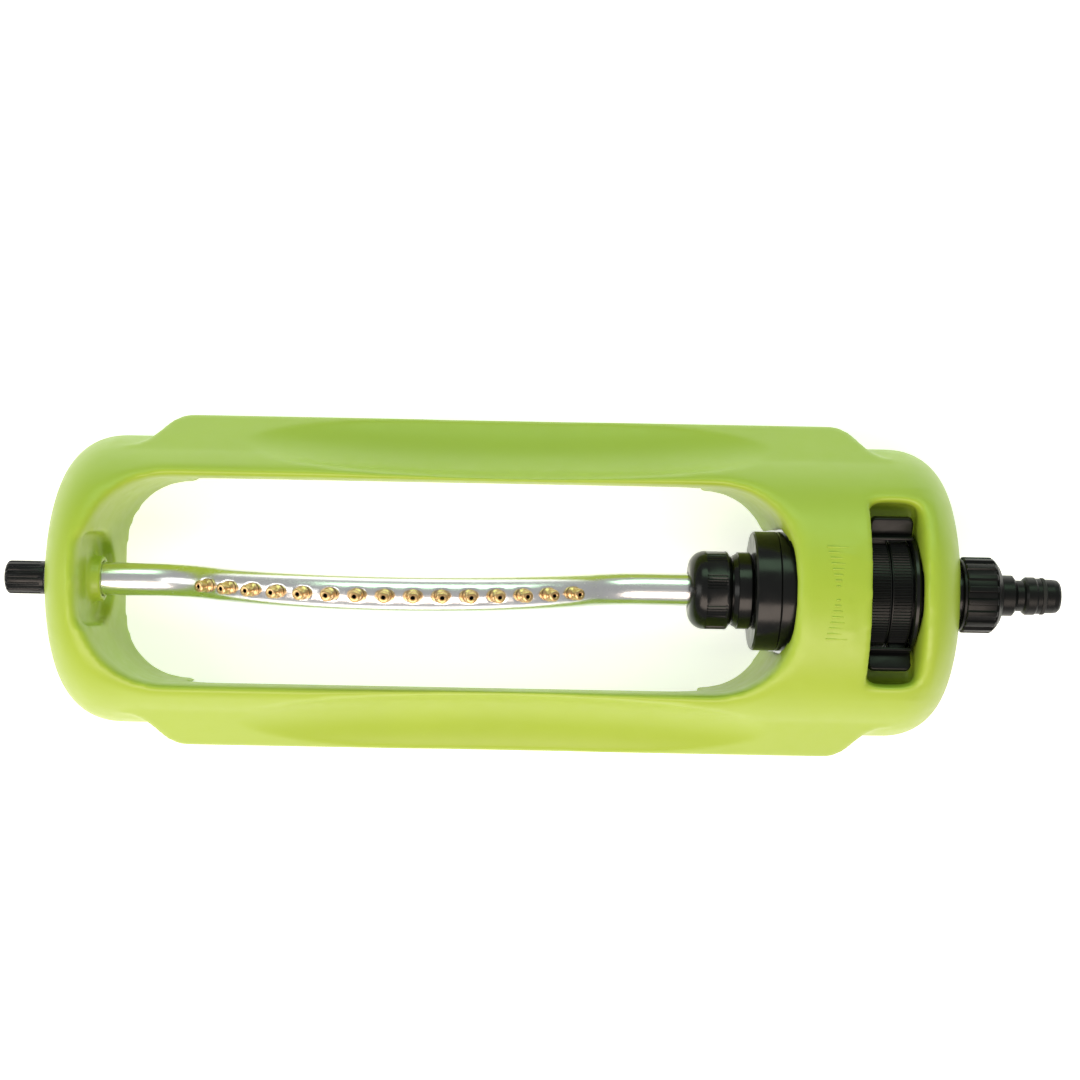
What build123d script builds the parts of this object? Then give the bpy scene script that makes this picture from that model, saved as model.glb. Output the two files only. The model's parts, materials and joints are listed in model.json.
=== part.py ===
"""Oscillating lawn sprinkler: moulded base, arched spray tube, geared water motor.

Millimetres, +Z up, X along the spray tube towards the hose inlet.
The origin is the centre of the footprint, on the ground.
"""

import os
from math import acos, cos, pi, radians, sin, sqrt, tan

from build123d import *

os.makedirs("parts", exist_ok=True)

# ---------------------------------------------------------------- overall sizes
half_length = 238.5        # plug tip to origin, and origin to hose nose tip
axis_height = 42.0         # swing axis above the ground
crown_cover = 7.0          # from the top of the motor to the crown of the heads
motor_radius = 27.0
base_height = axis_height + motor_radius + crown_cover
end_width = 135.0          # width of the heads
skirt_flare = 9.75         # how far the skirt stands out on each side
skirt_width = end_width + 2 * skirt_flare
base_left = -219.3         # outer face of the plug-end head
base_right = 192.6         # outer face of the inlet-end head
wall = 2.6                 # wall of the base moulding
overrun = 1.0              # how far a cutter runs past the face it cuts

# ---------------------------------------------------------------- fits
running_gap = 0.05         # radial clearance of a journal in its bearing
loose_gap = 0.1            # radial clearance of threads and push fits
seat_gap = 0.1             # between fixed pieces that are assembled together
free_gap = 0.4             # between moving and fixed faces

# ---------------------------------------------------------------- base form
crown_rise = 67.5          # height of the arch above the upright sides
arch_springing = base_height - crown_rise
end_depth = 32.0           # length over which each head rounds off
# share of end_depth left, then of the width and of the height, from the arch outwards
end_rounding = ((0.62, 0.985, 0.985), (0.34, 0.92, 0.93), (0.14, 0.81, 0.84), (0.03, 0.66, 0.72), (0.0, 0.5, 0.6))
skirt_left = (-186.0, -160.0)   # the skirt flares out between these two stations
skirt_right = (163.0, 137.0)
skirt_root = 6.0           # the skirt starts this far inside the sides of the heads
skirt_rim = 18.0           # height of the upright rim of the skirt
crest_drop = 26.0          # below the crown, where the flank of the skirt dies into the arch
crest_depth = 1.236        # how deep the flank's top edge is sunk in the arch
crest_share = sqrt(1 - ((crown_rise - crest_drop) / crown_rise) ** 2)
crest = (end_width / 2 * crest_share - crest_depth, base_height - crest_drop)
scoop_centre = -12.0       # station of the deepest point of the rail scoops
scoop_angle = 28.0         # elevation of the scoop, seen along X
scoop_radius = 40.0
scoop_depth = 7.0
scoop_sweep = 900.0        # radius of the scoop along the rail

# ---------------------------------------------------------------- central opening
opening_top = (-197.5, 115.0)
opening_bottom = (-193.0, 110.5)
opening_width = 93.0
opening_corner = 30.0
relief = (-160.0, 78.0)    # the inner walls of the rails stop short between these
relief_height = 36.0
relief_corner = 20.0
pocket_back = -200.5       # bearing pocket in the plug-end wall
pocket_radius = 21.0
pocket_boss_front = -193.6

# ---------------------------------------------------------------- spray tube
tube_radius = 7.5
tube_wall = 1.0
pocket_boss_radius = tube_radius + 2.7
bush_radius = tube_radius + 1.5
tube_left = -220.2
tube_right = 94.5
arch_centre = -60.5
arch_half = 112.0          # half the length of the bowed stretch
arch_rise = 34.0
end_bend = 50.0            # radius of the bends into the bow
rest_lean = 6.5            # degrees the bow leans to -Y at rest
jet_count = 15
jet_pitch = 11.65           # along the centreline of the bow
jet_shift = -3.0           # of the middle jet from the middle of the bow
jet_seat = 6.95            # height of the flat seats above the centreline
jet_seat_radius = 3.4
jet_stem_radius = 1.9
jet_bore = 0.6
jet_profile = ((3.1, 0.0), (3.1, 1.5), (2.2, 1.9), (2.2, 2.6), (2.65, 3.0), (2.65, 6.0), (2.25, 6.6))

# ---------------------------------------------------------------- motor
motor_wall = 2.5
motor_front_x = 99.0
motor_seam_x = 110.0       # front cover against housing
step_x = 148.0             # the housing steps down to the ring seat
ring_seat_radius = 23.0
chamber_radius = 20.4      # wet chamber behind the step
cap_front_x = 168.7
cap_flange = 2.5
cap_radius = 22.0
cap_end_x = 179.4
stub_radius = 13.2
stub_end_x = 204.0
stub_bore = 8.5
journal_radius = 10.0
boss_end_x = 117.8
washer_thickness = 0.9
hub_disc_radius = 19.0
hub_disc = (119.2, 123.0)
hub_bore = 6.0
hub_spigot_radius = 13.5
neck = (90.2, 98.6)
neck_radius = 17.5
spigot_x = 74.5

# ---------------------------------------------------------------- gear train
gear_module = 0.75
pressure = radians(28.0)
addendum = 0.8 * gear_module
dedendum = 1.0 * gear_module
backlash = 0.12            # taken off each tooth at the pitch circle
pinion_teeth = 8
wheel_teeth = 24
ring_teeth = 40
lay_distance = (pinion_teeth + wheel_teeth) * gear_module / 2
pin_radius = 1.25          # arbor and lay shaft
gear_face = 3.5
pinion_face = 5.5
first_wheel_x = 142.0
stage_pitch = 5.0          # each stage sits this far in front of the one behind it

# ---------------------------------------------------------------- range rings
ring_radius = 25.0
ring_starts = (149.6, 158.95)
ring_width = 9.1
paddle_x = (150.4, 169.6)
paddle_root = motor_radius + 0.6    # clears the cap flange, which is as wide as the motor
paddle_tip = 37.0
paddle_thickness = 3.4
paddle_angle = 68.0
window_x = (148.8, 171.8)
window_width = 81.6
window_drop = 34.0         # depth of the window well below the crown
ledge_height = 46.0        # ledges that close the ends of the window under the paddles
tick_x = 138.0
tick_pitch = 2.5
tick_count = 8
tick_first = 3.0
tick_lengths = (2.0, 9.6)
tick_height = 0.4

# ---------------------------------------------------------------- inlet and plug
nut_x = (193.0, 205.8)
nut_radius = 17.2
nose_shoulder_radius = 8.6
nose_bore = 5.0
plug_radius = tube_radius + 0.1
plug_shank_end = -206.0

swing_axis = Axis((0, 0, axis_height), (1, 0, 0))
axis_plane = Plane(origin=(0, 0, axis_height), x_dir=(1, 0, 0), z_dir=(0, -1, 0))


def turn(outline, mode=Mode.ADD):
    """Revolve an (x, radius) outline about the swing axis, into the part being built."""
    with BuildSketch(axis_plane) as profile:
        with BuildLine():
            Polyline(*outline, close=True)
        make_face()
    revolve(profile.sketch, axis=swing_axis, mode=mode)


def sleeve(start, end, outer, inner, mode=Mode.ADD):
    """A plain tube about the swing axis."""
    turn(((start, inner), (end, inner), (end, outer), (start, outer)), mode)


def rod(start, end, radius, mode=Mode.ADD):
    """A plain round bar on the swing axis."""
    turn(((start, 0), (end, 0), (end, radius), (start, radius)), mode)


def section_at(x):
    """The plane across the swing axis at station x, with its centre on the axis."""
    return Plane(origin=(x, 0, axis_height), x_dir=(0, 1, 0), z_dir=(1, 0, 0))


def finish(name, piece):
    """Label one finished piece and write it out."""
    piece.part.label = name
    export_step(piece.part, f"parts/{name}.step")


# ================================================================ base moulding
def arch_at(x, half_width, crown, inset):
    """Cross-section of a head at station x: upright sides under a round arch."""
    half = half_width - inset
    top = crown - inset
    bottom = 0 if inset <= 0 else -overrun
    with BuildSketch(Plane.YZ.offset(x)) as section:
        with BuildLine():
            Polyline((-half, arch_springing), (-half, bottom), (half, bottom), (half, arch_springing))
            ThreePointArc(
                (half, arch_springing),
                (half * sqrt(0.5), arch_springing + (top - arch_springing) * sqrt(0.5)),
                (0, top),
            )
            ThreePointArc(
                (0, top),
                (-half * sqrt(0.5), arch_springing + (top - arch_springing) * sqrt(0.5)),
                (-half, arch_springing),
            )
        make_face()
    return section.sketch


def skirt_plan(inset):
    """Plan of the flared skirt between the heads, with its S-curved ends."""
    head = end_width / 2 - skirt_root - inset
    skirt = skirt_width / 2 - inset
    with BuildSketch(Plane.XY.offset(-overrun)) as plan:
        with BuildLine():
            for side in (-1, 1):
                Line((skirt_left[1], side * skirt), (skirt_right[1], side * skirt))
                for outer, inner in (skirt_left, skirt_right):
                    middle = (outer + inner) / 2
                    Bezier(
                        (outer, side * head),
                        (middle, side * head),
                        (middle, side * skirt),
                        (inner, side * skirt),
                    )
            for station in (skirt_left[0], skirt_right[0]):
                Line((station, -head), (station, head))
        make_face()
    return plan.sketch


def tunnel(inset):
    """The outside of the base, moved in by inset; the cavity is the same form one wall smaller."""
    bottom = 0 if inset <= 0 else -overrun
    skirt = skirt_width / 2 - inset
    with BuildPart() as form:
        with BuildSketch(Plane.YZ.offset(skirt_left[0])):
            with BuildLine():
                for side in (-1, 1):
                    Polyline(
                        (0, bottom),
                        (side * skirt, bottom),
                        (side * skirt, skirt_rim - inset),
                        (side * (crest[0] - inset), crest[1] - inset),
                        (0, crest[1] - inset),
                    )
            make_face()
        extrude(amount=skirt_right[0] - skirt_left[0])
        extrude(skirt_plan(inset), amount=base_height, mode=Mode.INTERSECT)
        for end, facing in ((base_left, 1), (base_right, -1)):
            start = base_left + end_depth if facing > 0 else base_right - end_depth
            stations = [(start, end_width / 2, base_height)]
            for depth, width_share, height_share in end_rounding:
                stations.append((
                    end + facing * (depth * end_depth + inset),
                    end_width / 2 * width_share,
                    base_height * height_share,
                ))
            loft([arch_at(*station, inset) for station in stations])
        barrel = arch_at(base_left + end_depth, end_width / 2, base_height, inset)
        extrude(barrel, amount=base_right - base_left - 2 * end_depth)
        for side in (-1, 1):
            out = Vector(0, side * cos(radians(scoop_angle)), sin(radians(scoop_angle)))
            reach = end_width / 2 - scoop_depth + scoop_radius + scoop_sweep
            middle = Vector(scoop_centre, 0, arch_springing) + out * reach
            with Locations(Plane(origin=middle, x_dir=(1, 0, 0), z_dir=out.cross(Vector(1, 0, 0)))):
                Torus(scoop_sweep, scoop_radius + inset, mode=Mode.SUBTRACT)
    return form.part


def well(grow):
    """The central opening, grown by its wall for the material around it."""
    with BuildPart() as space:
        with BuildSketch(Plane.XY.offset(-overrun)) as low:
            with Locations(((opening_bottom[0] + opening_bottom[1]) / 2, 0)):
                RectangleRounded(
                    opening_bottom[1] - opening_bottom[0] + 2 * grow,
                    opening_width + 2 * grow,
                    opening_corner + grow,
                )
        with BuildSketch(Plane.XY.offset(base_height + overrun)) as high:
            with Locations(((opening_top[0] + opening_top[1]) / 2, 0)):
                RectangleRounded(
                    opening_top[1] - opening_top[0] + 2 * grow,
                    opening_width + 2 * grow,
                    opening_corner + grow,
                )
        loft(ruled=True)
    return space.part


outside = tunnel(0)
inside = tunnel(wall)
opening = well(0)
opening_wall = well(wall)
tick_skin = tunnel(-tick_height)

cover_bolts = [(x, y) for x in (128.0, 178.0) for y in (-38.0, 38.0)]
cover_height = 5.6         # underside of the bosses, top of the cover plate
cover_plate = 2.6
cover_boss_radius = 4.0
screw_radius = 1.5
saddles = (122.0, 174.0)   # stations of the two motor saddles
saddle_width = 4.0
window_centre = (window_x[0] + window_x[1]) / 2
window_length = window_x[1] - window_x[0]
well_wall = 2.0
tube_hub_end = -208.8

# Ribs, bosses and wells inside the base, trimmed by its outer form.
with BuildPart() as fittings:
    with BuildSketch(Plane.XY.offset(cover_height)):
        with Locations(*cover_bolts):
            Circle(cover_boss_radius)
    extrude(amount=base_height)
    with BuildSketch(Plane.XY.offset(base_height - window_drop)):
        with Locations((window_centre, 0)):
            Rectangle(window_length + 2 * well_wall, window_width + 2 * well_wall)
    extrude(amount=window_drop)
    for saddle in saddles:
        with BuildSketch(Plane.YZ.offset(saddle)):
            with Locations((0, axis_height)):
                Rectangle(2 * (motor_radius + 12), 2 * motor_radius)
            with Locations((0, axis_height + motor_radius)):
                Rectangle(end_width, 2 * motor_radius)
            with Locations((0, 0)):
                Rectangle(end_width, 2 * axis_height, mode=Mode.SUBTRACT)
        extrude(amount=saddle_width)
    with BuildSketch(section_at(pocket_back - wall)):
        Circle(pocket_radius + wall)
        with Locations((0, base_height / 2)):
            Rectangle(2 * (pocket_radius + wall), base_height)
    extrude(amount=opening_bottom[0] - pocket_back + wall)
    sleeve(base_left, tube_hub_end, tube_radius + 4.0, tube_radius)

# The hollow of the base: everything inside the walls that no rib, boss or well takes up.
with BuildPart() as hollow:
    add(inside)
    add(opening_wall, mode=Mode.SUBTRACT)
    add(fittings.part, mode=Mode.SUBTRACT)

# Two mirrored groups of raised ticks beside the window, trimmed a little above the crown.
tick_reach = tick_first + tick_pitch * (tick_count - 1)
with BuildPart() as above_ticks:
    with Locations((tick_x, 0, base_height)):
        Box(2 * tick_lengths[1], 2 * tick_reach + 10, 40)
    add(tick_skin, mode=Mode.SUBTRACT)

with BuildPart() as ticks:
    for step in range(tick_count):
        length = tick_lengths[0] + (tick_lengths[1] - tick_lengths[0]) * step / (tick_count - 1)
        reach = tick_first + tick_pitch * step
        with Locations((tick_x, reach, base_height), (tick_x, -reach, base_height)):
            Box(length, 0.8, 12)
    add(above_ticks.part, mode=Mode.SUBTRACT)
    add(inside, mode=Mode.SUBTRACT)

mouth_radius = motor_radius + 1.0
mouth_x = motor_front_x    # the mouth is cut from here, through the rounded corners too
stub_hole = stub_radius + 0.6

with BuildPart() as base_shell:
    add(outside)
    add(hollow.part, mode=Mode.SUBTRACT)
    add(opening, mode=Mode.SUBTRACT)
    # bearing pocket in the plug-end wall, with the ring boss the tube runs in
    with BuildSketch(section_at(pocket_back)):
        Circle(pocket_radius)
        with Locations((0, base_height / 2)):
            Rectangle(2 * pocket_radius, base_height)
    extrude(amount=opening_bottom[0] - pocket_back + overrun, mode=Mode.SUBTRACT)
    sleeve(pocket_back - wall, pocket_boss_front, pocket_boss_radius, tube_radius)
    rod(pocket_back - 2 * wall, pocket_boss_front + overrun, tube_radius + free_gap, Mode.SUBTRACT)
    # bush seat through the outer end wall
    rod(base_left - overrun, tube_hub_end + overrun, bush_radius + seat_gap / 2, Mode.SUBTRACT)
    # open-bottomed mouth for the motor, and the round hole for the inlet stub
    with BuildSketch(section_at(mouth_x)):
        Circle(mouth_radius)
        with Locations((0, -axis_height)):
            Rectangle(2 * mouth_radius, 2 * axis_height)
    extrude(amount=saddles[0] - overrun - mouth_x, mode=Mode.SUBTRACT)
    cap_clear_x = cap_front_x + cap_flange + seat_gap
    rod(saddles[0] - overrun, cap_clear_x, motor_radius + seat_gap, Mode.SUBTRACT)
    rod(cap_clear_x - overrun, cap_end_x + free_gap, cap_radius + seat_gap, Mode.SUBTRACT)
    rod(cap_end_x, base_right + overrun, stub_hole, Mode.SUBTRACT)
    # window over the range rings, and room for the paddles to sweep
    with BuildSketch(Plane.XY.offset(base_height - window_drop - overrun)):
        with Locations((window_centre, 0)):
            Rectangle(window_length, window_width)
    extrude(amount=window_drop + 2 * overrun, mode=Mode.SUBTRACT)
    rod(window_x[0], window_x[1], paddle_tip + 1.2, Mode.SUBTRACT)
    with BuildSketch(Plane.XY.offset(ledge_height - well_wall)):
        ledge_width = window_width / 2 + well_wall - paddle_root
        for side in (-1, 1):
            with Locations((window_centre, side * (paddle_root + ledge_width / 2))):
                Rectangle(window_length + 2 * well_wall, ledge_width)
    extrude(amount=well_wall)
    # the inner walls of the rails stop short of the ground
    with BuildSketch(Plane.XZ) as rail_relief:
        with Locations(((relief[0] + relief[1]) / 2, 0)):
            Rectangle(relief[1] - relief[0], 2 * relief_height)
        fillet(rail_relief.vertices().group_by(Axis.Y)[-1], radius=relief_corner)
    extrude(amount=opening_width / 2 + wall + overrun, both=True, mode=Mode.SUBTRACT)
    # screw holes in the bosses
    with BuildSketch(Plane.XY.offset(cover_height)):
        with Locations(*cover_bolts):
            Circle(screw_radius + loose_gap / 2)
    extrude(amount=14, mode=Mode.SUBTRACT)
    add(ticks.part)
finish("base_shell", base_shell)

with BuildPart() as bottom_cover:
    with BuildSketch(Plane.XY.offset(cover_height - cover_plate - seat_gap)) as plate:
        with Locations((sum(x for x, _ in cover_bolts) / 4, 0)):
            RectangleRounded(58, 84, 6)
        with Locations(*cover_bolts):
            Circle(screw_radius + 2 * seat_gap, mode=Mode.SUBTRACT)
    extrude(amount=cover_plate)
    for saddle in saddles:
        with BuildSketch(Plane.YZ.offset(saddle)):
            with Locations((0, axis_height / 2)):
                Rectangle(2 * motor_radius, axis_height - 2 * (cover_height - seat_gap - cover_plate))
            with Locations((0, axis_height)):
                Circle(motor_radius + seat_gap if saddle < step_x else cap_radius + seat_gap,
                       mode=Mode.SUBTRACT)
        extrude(amount=saddle_width)
finish("bottom_cover", bottom_cover)

with BuildPart() as cover_screws:
    head_top = cover_height - cover_plate - seat_gap
    with BuildSketch(Plane.XY.offset(head_top - 2.2)):
        with Locations(*cover_bolts):
            Circle(3.2)
            RegularPolygon(1.2, 6, mode=Mode.SUBTRACT)
    extrude(amount=2.2)
    with BuildSketch(Plane.XY.offset(head_top - 0.8)):
        with Locations(*cover_bolts):
            Circle(screw_radius)
    extrude(amount=14)
finish("cover_screws", cover_screws)

with BuildPart() as tube_bush:
    sleeve(base_left + 0.4, tube_hub_end, bush_radius, tube_radius + running_gap)
finish("tube_bush", tube_bush)

# ================================================================ spray tube
arch_plane = Plane(
    origin=(0, 0, axis_height),
    x_dir=(1, 0, 0),
    z_dir=(0, -cos(radians(rest_lean)), -sin(radians(rest_lean))),
)
arch_turn = 2 * acos(arch_half / sqrt(arch_half**2 + arch_rise**2))   # turn of each end bend
bow_radius = arch_half / sin(arch_turn) - end_bend


def jet_planes(height):
    """One plane per jet, square to the bow, at a height above its centreline."""
    planes = []
    for index in range(jet_count):
        angle = ((index - (jet_count - 1) / 2) * jet_pitch + jet_shift) / bow_radius
        reach = bow_radius + height
        seat = (arch_centre + reach * sin(angle), arch_rise - bow_radius + reach * cos(angle), 0)
        up = arch_plane.from_local_coords(Vector(sin(angle), cos(angle), 0)) - arch_plane.origin
        planes.append(Plane(origin=arch_plane.from_local_coords(Vector(*seat)), z_dir=up))
    return planes


def tube_solid(radius, start, end):
    """A round bar along the bowed centreline."""
    rise_x = end_bend * sin(arch_turn)
    rise_y = end_bend * (1 - cos(arch_turn))
    left = arch_centre - arch_half
    right = arch_centre + arch_half
    half_x = end_bend * sin(arch_turn / 2)
    half_y = end_bend * (1 - cos(arch_turn / 2))
    with BuildPart() as bar:
        with BuildLine(arch_plane) as path:
            Line((start, 0), (left, 0))
            ThreePointArc((left, 0), (left + half_x, half_y), (left + rise_x, rise_y))
            ThreePointArc((left + rise_x, rise_y), (arch_centre, arch_rise), (right - rise_x, rise_y))
            ThreePointArc((right - rise_x, rise_y), (right - half_x, half_y), (right, 0))
            Line((right, 0), (end, 0))
        with BuildSketch(section_at(start)):
            Circle(radius)
        sweep(path=path.line)
    return bar.part


with BuildPart() as spray_tube:
    add(tube_solid(tube_radius, tube_left, tube_right))
    add(tube_solid(tube_radius - tube_wall, tube_left - overrun, tube_right + overrun), mode=Mode.SUBTRACT)
    with Locations(*jet_planes(jet_seat)):
        Cylinder(jet_seat_radius, 2.0, align=(Align.CENTER, Align.CENTER, Align.MIN), mode=Mode.SUBTRACT)
        Cylinder(jet_stem_radius + running_gap, 4.0, mode=Mode.SUBTRACT)
finish("spray_tube", spray_tube)

with BuildPart() as one_jet:
    with BuildSketch(Plane.XZ):
        with BuildLine():
            Polyline(
                (jet_bore, -1.2), (jet_stem_radius, -1.2), (jet_stem_radius, 0), *jet_profile,
                (jet_bore, jet_profile[-1][1] - 0.4), close=True,
            )
        make_face()
    revolve(axis=Axis.Z)

with BuildPart() as spray_nozzles:
    with Locations(*jet_planes(jet_seat)):
        add(one_jet.part)
finish("spray_nozzles", spray_nozzles)

# ================================================================ end plug
flute_count = 16
plug_head_x = tube_left - 0.2
seal_x = -212.0
seal_width = 1.8

with BuildPart() as end_plug:
    tip = -half_length
    turn((
        (tip, 0), (plug_shank_end, 0), (plug_shank_end, tube_radius - tube_wall - loose_gap),
        (plug_head_x, tube_radius - tube_wall - loose_gap), (plug_head_x, plug_radius),
        (tip + 2.0, plug_radius), (tip + 0.6, plug_radius - 0.6), (tip, plug_radius - 2.0),
    ))
    with BuildSketch(section_at(tip)):
        with PolarLocations(plug_radius + 0.35, flute_count):
            Circle(0.8)
    extrude(amount=plug_head_x - tip - 2.0, mode=Mode.SUBTRACT)
    sleeve(seal_x, seal_x + seal_width, plug_radius, tube_radius - tube_wall - 1.2, Mode.SUBTRACT)
    rod(plug_shank_end - 8, plug_shank_end + overrun, 0.5 + loose_gap / 2, Mode.SUBTRACT)
finish("end_plug", end_plug)

with BuildPart() as plug_oring:
    sleeve(seal_x + 0.1, seal_x + seal_width - 0.1, tube_radius - tube_wall - running_gap,
           tube_radius - tube_wall - 1.15)
finish("plug_oring", plug_oring)

with BuildPart() as cleaning_needle:
    turn(((plug_shank_end - 7.5, 0), (plug_shank_end + 13, 0), (plug_shank_end + 11, 0.5),
          (plug_shank_end - 7.5, 0.5)))
finish("cleaning_needle", cleaning_needle)

# ================================================================ output hub and tube nut
hub_seal_x = 104.0
hub_seal_width = 2.6
hub_seal_depth = 1.8
nut_left = 70.4
nut_right = 89.6
nut_outer = 17.8
nut_land = nut_left + 2.4

with BuildPart() as output_hub:
    turn((
        (spigot_x, tube_radius + loose_gap), (tube_right + 0.3, tube_radius + loose_gap),
        (tube_right + 0.3, hub_bore), (hub_disc[0], hub_bore), (hub_disc[0], 0), (hub_disc[1], 0),
        (hub_disc[1], hub_disc_radius), (hub_disc[0], hub_disc_radius),
        (hub_disc[0], journal_radius), (neck[1], journal_radius), (neck[1], neck_radius - 0.8),
        (neck[1] - 0.8, neck_radius), (neck[0] + 2.2, neck_radius), (neck[0] + 2.0, neck_radius - 0.5),
        (neck[0], neck_radius - 1.6), (neck[0], hub_spigot_radius), (spigot_x, hub_spigot_radius),
    ))
    sleeve(hub_seal_x, hub_seal_x + hub_seal_width, journal_radius + overrun,
           journal_radius - hub_seal_depth, Mode.SUBTRACT)
    with BuildSketch(section_at(hub_disc[0] - overrun)):
        with PolarLocations(hub_bore - 1.7, 6):
            Circle(1.4)
    extrude(amount=hub_disc[1] - hub_disc[0] + 2 * overrun, mode=Mode.SUBTRACT)
    rod(hub_disc[0] + 1.2, hub_disc[1] + overrun, pin_radius + running_gap, Mode.SUBTRACT)
finish("output_hub", output_hub)

with BuildPart() as hub_seal:
    sleeve(hub_seal_x + 0.1, hub_seal_x + hub_seal_width - 0.1, journal_radius + running_gap / 2,
           journal_radius - hub_seal_depth + running_gap)
    fillet(hub_seal.edges().filter_by(GeomType.CIRCLE).group_by(SortBy.RADIUS)[-1], radius=0.6)
finish("hub_seal", hub_seal)

with BuildPart() as thrust_washer:
    sleeve(hub_disc[0] - washer_thickness - seat_gap, hub_disc[0] - seat_gap, journal_radius + 3.5,
           journal_radius + 0.3)
finish("thrust_washer", thrust_washer)

with BuildPart() as tube_nut:
    turn((
        (nut_left, tube_radius + 0.4), (nut_land, tube_radius + 0.4), (nut_land, hub_spigot_radius + loose_gap),
        (nut_right, hub_spigot_radius + loose_gap), (nut_right, nut_outer - 2.0),
        (nut_right - 2.0, nut_outer), (nut_left + 6.0, nut_outer), (nut_left + 3.2, nut_outer - 0.9),
        (nut_left + 1.2, nut_outer - 3.2), (nut_left + 0.2, nut_outer - 6.5), (nut_left, nut_outer - 8.0),
    ))
    with BuildSketch(section_at(nut_left + 5.0)):
        with PolarLocations(nut_outer + 0.7, 24):
            Circle(1.3)
    extrude(amount=nut_right - nut_left - 8.0, mode=Mode.SUBTRACT)
finish("tube_nut", tube_nut)

with BuildPart() as gland_seal:
    turn(((nut_land + 0.1, tube_radius + 0.05), (spigot_x - 0.1, tube_radius + 0.05),
          (spigot_x - 0.1, hub_spigot_radius - 1.0), (nut_land + 0.1, hub_spigot_radius - 0.4)))
finish("gland_seal", gland_seal)

# ================================================================ motor casing
spigot_radius = motor_radius - motor_wall - seat_gap
spigot_length = 3.6
bearing_boss_radius = journal_radius + 4.0
plate_radius = chamber_radius - 0.1
gear_plate_x = (step_x, step_x + 2.3)
jet_plate_x = (162.6, 165.0)
shelf_width = 1.4

with BuildPart() as motor_front:
    bore = journal_radius + running_gap
    turn((
        (motor_front_x, bore), (boss_end_x, bore), (boss_end_x, bearing_boss_radius),
        (motor_front_x + 3.0, bearing_boss_radius), (motor_front_x + 3.0, spigot_radius - motor_wall),
        (motor_seam_x + spigot_length, spigot_radius - motor_wall),
        (motor_seam_x + spigot_length, spigot_radius), (motor_seam_x, spigot_radius),
        (motor_seam_x, motor_radius - 0.4), (motor_seam_x - 0.4, motor_radius),
        (motor_front_x + 0.8, motor_radius), (motor_front_x, motor_radius - 0.8),
    ))
    with BuildSketch(section_at(motor_front_x + 2.0)):
        with PolarLocations((bearing_boss_radius + spigot_radius - motor_wall) / 2, 6):
            Rectangle(spigot_radius - motor_wall - bearing_boss_radius + 1.0, 1.6)
    extrude(amount=9.0)
    sleeve(motor_seam_x + 1.0, motor_seam_x + 2.6, motor_radius - motor_wall,
           spigot_radius - 1.0, Mode.SUBTRACT)
finish("motor_front", motor_front)

with BuildPart() as motor_seal:
    sleeve(motor_seam_x + 1.1, motor_seam_x + 2.5, motor_radius - motor_wall - running_gap,
           spigot_radius - 0.95)
finish("motor_seal", motor_seal)

with BuildPart() as motor_housing:
    bore = motor_radius - motor_wall
    shelf_front = gear_plate_x[1] + seat_gap
    shelf_back = jet_plate_x[0] - seat_gap - shelf_width
    turn((
        (motor_seam_x + seat_gap, bore), (step_x - 2.0, bore), (step_x - 2.0, chamber_radius),
        (shelf_front, chamber_radius), (shelf_front, chamber_radius - 1.2),
        (shelf_front + shelf_width, chamber_radius - 1.2), (shelf_front + shelf_width, chamber_radius),
        (shelf_back, chamber_radius), (shelf_back, chamber_radius - 1.2),
        (shelf_back + shelf_width, chamber_radius - 1.2), (shelf_back + shelf_width, chamber_radius),
        (cap_front_x - seat_gap, chamber_radius), (cap_front_x - seat_gap, ring_seat_radius),
        (step_x, ring_seat_radius), (step_x, motor_radius - 0.6), (step_x - 0.6, motor_radius),
        (motor_seam_x + 0.5, motor_radius), (motor_seam_x + seat_gap, motor_radius - 0.4),
    ))
finish("motor_housing", motor_housing)

with BuildPart() as rear_cap:
    turn((
        (cap_front_x, cap_radius - motor_wall), (cap_end_x - motor_wall, cap_radius - motor_wall),
        (cap_end_x - motor_wall, stub_bore),
        (stub_end_x, stub_bore), (stub_end_x, stub_radius - 0.8), (stub_end_x - 0.8, stub_radius),
        (cap_end_x, stub_radius), (cap_end_x, cap_radius - 1.5), (cap_end_x - 1.5, cap_radius),
        (cap_front_x + cap_flange, cap_radius), (cap_front_x + cap_flange, motor_radius - 0.6),
        (cap_front_x + cap_flange - 0.6, motor_radius), (cap_front_x + 0.6, motor_radius),
        (cap_front_x, motor_radius - 0.6),
    ))
finish("rear_cap", rear_cap)

# ================================================================ water path
jet_hole_radius = 14.0
selector_x = (165.5, 167.9)
blade_count = 12
turbine_x = (153.2, 160.4)
turbine_radius = 17.4
lay_centre = (0, axis_height - lay_distance)

with BuildPart() as gear_plate:
    with BuildSketch(section_at(gear_plate_x[0])):
        Circle(plate_radius)
        Circle(pinion_teeth * gear_module / 2 + addendum + 0.5, mode=Mode.SUBTRACT)
        with Locations((0, -lay_distance)):
            Circle(pin_radius + running_gap / 2, mode=Mode.SUBTRACT)
        with PolarLocations(lay_distance, 5, start_angle=-90 + 60, angular_range=240, endpoint=True):
            Circle(2.4, mode=Mode.SUBTRACT)
    extrude(amount=gear_plate_x[1] - gear_plate_x[0])
finish("gear_plate", gear_plate)

with BuildPart() as jet_plate:
    with BuildSketch(section_at(jet_plate_x[0])):
        Circle(plate_radius)
        Circle(pin_radius + running_gap / 2, mode=Mode.SUBTRACT)
        with PolarLocations(jet_hole_radius, 4, start_angle=45):
            Circle(1.6, mode=Mode.SUBTRACT)
    extrude(amount=jet_plate_x[1] - jet_plate_x[0])
finish("jet_plate", jet_plate)

with BuildPart() as arbor:
    rod(hub_disc[0] + 1.4, selector_x[1] + 1.2, pin_radius)
finish("arbor", arbor)

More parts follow.
